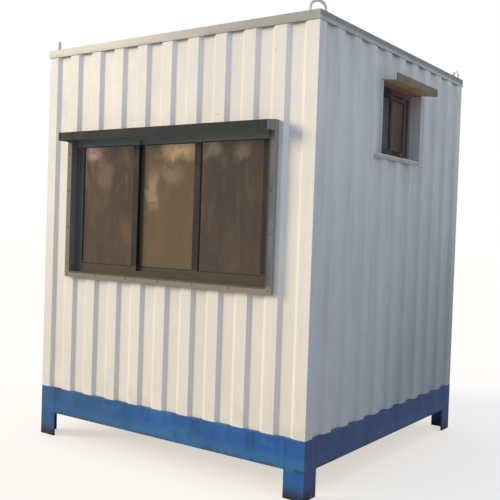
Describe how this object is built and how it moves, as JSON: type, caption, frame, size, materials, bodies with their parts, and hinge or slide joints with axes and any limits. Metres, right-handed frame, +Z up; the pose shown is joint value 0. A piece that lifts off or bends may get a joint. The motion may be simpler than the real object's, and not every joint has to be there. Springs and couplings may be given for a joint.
{
  "type": "portable steel site office",
  "caption": "Square portable steel cabin with ribbed off-white walls, a tinted sliding window under a rain hood, a high ventilator, lifting rings and a blue base on angle legs.",
  "frame": {"origin": "centre of the overall box at ground level, under the middle of the cabin", "axes": "+Z up, -Y out of the front wall with the wide window, +X out of the right wall with the ventilator"},
  "size_m": [2.672, 2.704, 3.0998],
  "materials": {
    "base_paint": "satin blue paint, worn and dirty at the feet",
    "floor_board": "matt board",
    "wall_paint": "satin off-white paint, lightly weathered",
    "lining_board": "satin laminate board",
    "rail_paint": "dull grey weathered paint",
    "roof_paint": "dull grey weathered paint",
    "ring_steel": "bare rolled bar, weathered",
    "trim_paint": "dull grey paint",
    "window_frame": "dark anodised",
    "tinted_glass": "brown tinted, reflective",
    "hood_paint": "dark paint, chalky",
    "vent_hood_paint": "dull brown-grey paint, stained with rust",
    "door_paint": "satin off-white paint",
    "door_hardware": "satin"
  },
  "bodies": {
    "root": {"leg_front_left": "base_paint", "leg_front_right": "base_paint", "leg_rear_right": "base_paint", "leg_rear_left": "base_paint", "base_beam_front": "base_paint", "base_beam_right": "base_paint", "base_beam_rear": "base_paint", "base_beam_left": "base_paint", "floor_joists": "base_paint", "floor_board": "floor_board", "corner_post_front_left": "wall_paint", "corner_post_front_right": "wall_paint", "corner_post_rear_right": "wall_paint", "corner_post_rear_left": "wall_paint", "front_wall": "wall_paint", "right_wall": "wall_paint", "rear_wall": "wall_paint", "left_wall": "wall_paint", "front_lining": "lining_board", "right_lining": "lining_board", "rear_lining": "lining_board", "left_lining": "lining_board", "roof_rail_front": "rail_paint", "roof_rail_right": "rail_paint", "roof_rail_rear": "rail_paint", "roof_rail_left": "rail_paint", "roof_sheet": "roof_paint", "ceiling": "lining_board", "lifting_rings": "ring_steel", "front_window_surround": "trim_paint", "front_window_frame": "window_frame", "front_window_sashes": "window_frame", "front_window_glass": "tinted_glass", "front_window_hood": "hood_paint", "ventilator_sleeves": "wall_paint", "ventilator_frames": "window_frame", "ventilator_sashes": "window_frame", "ventilator_glass": "tinted_glass", "ventilator_hoods": "vent_hood_paint", "door_frame": "trim_paint", "door_leaf": "door_paint", "door_handle": "door_hardware", "door_hinges": "door_hardware", "door_hood": "hood_paint"}
  },
  "joints": []
}
